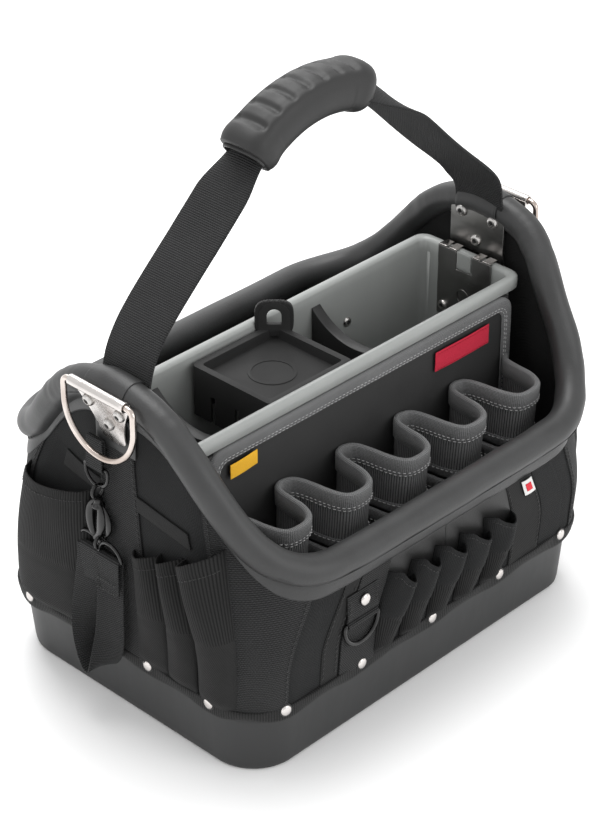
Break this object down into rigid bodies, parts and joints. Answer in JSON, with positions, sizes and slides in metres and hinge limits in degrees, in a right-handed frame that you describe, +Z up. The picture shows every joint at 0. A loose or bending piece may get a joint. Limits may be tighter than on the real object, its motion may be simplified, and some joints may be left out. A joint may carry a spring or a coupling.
{
  "type": "tool bucket organizer",
  "caption": "Open-top tool carrier with a moulded base, sewn pocketed walls, padded rim, lift-out tote with tool loops, hinged carrying handle and hanging rings.",
  "frame": {"origin": "centre of the base's underside, on the floor", "axes": "+Z up; +X along the length, away from the end with the snap hook; -Y towards the side with the tool loops"},
  "size_m": [0.4704, 0.328, 0.501],
  "materials": {
    "moulded_base": "satin moulded",
    "cloth": "fine heavy weave",
    "webbing": "cross ribbed",
    "vinyl": "padded satin vinyl",
    "nickel": "bright nickel",
    "steel": "brushed",
    "black_metal": "black coated wire",
    "rubber": "soft satin",
    "light_plastic": "satin moulded",
    "black_plastic": "satin moulded",
    "trim": "twill tape with pale stitches",
    "white_tag": "woven tag",
    "red_tag": "woven tag",
    "yellow_tag": "woven tag"
  },
  "bodies": {
    "bag": {"base_tub": "moulded_base", "joining_band": "webbing", "band_rivets": "nickel", "front_wall": "cloth", "back_wall": "cloth", "left_wall": "cloth", "right_wall": "cloth", "wall_corners": "cloth", "corner_webbing": "webbing", "wall_webbing": "webbing", "end_webbing": "webbing", "rim_roll_front": "vinyl", "rim_roll_back": "vinyl", "rim_roll_left": "vinyl", "rim_roll_right": "vinyl", "rim_facing": "vinyl", "roll_wraps": "vinyl", "front_pockets": "cloth", "back_pockets": "cloth", "left_end_pockets": "cloth", "right_end_pockets": "cloth", "front_ring_tab": "webbing", "tab_rivet": "nickel", "size_tag": "white_tag", "left_ring_plate": "nickel", "right_ring_plate": "nickel", "ring_plate_screws": "steel", "left_strap_plate": "steel", "right_strap_plate": "steel", "strap_plate_screws": "steel", "strap_anchors": "webbing", "hook_tab": "webbing"},
    "handle": {"grip": "rubber", "grip_liner": "rubber", "left_handle_strap": "webbing", "right_handle_strap": "webbing"},
    "tote": {"tote_bin": "light_plastic", "left_hook_plate": "steel", "right_hook_plate": "steel", "tote_screws": "steel", "pocket_panel": "cloth", "panel_binding": "trim", "tool_loops": "cloth", "loop_binding": "trim", "lower_pockets": "cloth", "lower_pocket_binding": "trim", "long_tag": "red_tag", "short_tag": "yellow_tag"},
    "tray": {"parts_tray": "black_plastic"},
    "left_divider": {"left_divider": "black_plastic"},
    "right_divider": {"right_divider": "black_plastic"},
    "left_ring": {"left_d_ring": "nickel"},
    "right_ring": {"right_d_ring": "nickel"},
    "front_ring": {"small_d_ring": "black_metal"},
    "link": {"split_ring": "black_metal"},
    "snap": {"snap_hook": "black_metal"},
    "gate": {"hook_gate": "black_metal"},
    "tape_holder": {"tape_ring": "black_metal", "tape_strap": "webbing"}
  },
  "joints": [
    {"name": "handle_swing", "type": "hinge", "parent": "bag", "child": "handle", "pos_m": [0, -0.005, 0.327], "axis": [1, 0, 0], "range_deg": [-75, 75]},
    {"name": "tote_lift", "type": "slide", "parent": "bag", "child": "tote", "axis": [0, 0, 1], "range_m": [0, 0.03]},
    {"name": "tray_lift", "type": "slide", "parent": "tote", "child": "tray", "axis": [0, 0, 1], "range_m": [0, 0.09]},
    {"name": "left_divider_lift", "type": "slide", "parent": "tote", "child": "left_divider", "axis": [0, 0, 1], "range_m": [0, 0.08]},
    {"name": "right_divider_lift", "type": "slide", "parent": "tote", "child": "right_divider", "axis": [0, 0, 1], "range_m": [0, 0.08]},
    {"name": "left_ring_swing", "type": "hinge", "parent": "bag", "child": "left_ring", "pos_m": [-0.2308, -0.005, 0.314], "axis": [0, 1, 0], "range_deg": [0, 140]},
    {"name": "right_ring_swing", "type": "hinge", "parent": "bag", "child": "right_ring", "pos_m": [0.2308, -0.005, 0.314], "axis": [0, -1, 0], "range_deg": [0, 140]},
    {"name": "front_ring_swing", "type": "hinge", "parent": "bag", "child": "front_ring", "pos_m": [-0.0985, -0.1514, 0.114], "axis": [-1, 0, 0], "range_deg": [0, 100]},
    {"name": "link_swing", "type": "hinge", "parent": "bag", "child": "link", "pos_m": [-0.2192, 0.014, 0.236], "axis": [0, 1, 0], "range_deg": [0, 60]},
    {"name": "snap_swing", "type": "hinge", "parent": "link", "child": "snap", "pos_m": [-0.2192, 0.014, 0.2157], "axis": [0, 1, 0], "range_deg": [0, 40]},
    {"name": "gate_press", "type": "hinge", "parent": "snap", "child": "gate", "pos_m": [-0.2192, 0.0071, 0.1948], "axis": [-1, 0, 0], "range_deg": [0, 20], "stiffness_Nm_per_rad": 0.004},
    {"name": "tape_holder_swing", "type": "hinge", "parent": "snap", "child": "tape_holder", "pos_m": [-0.2192, 0.014, 0.1655], "axis": [0, 1, 0], "range_deg": [0, 40]}
  ]
}
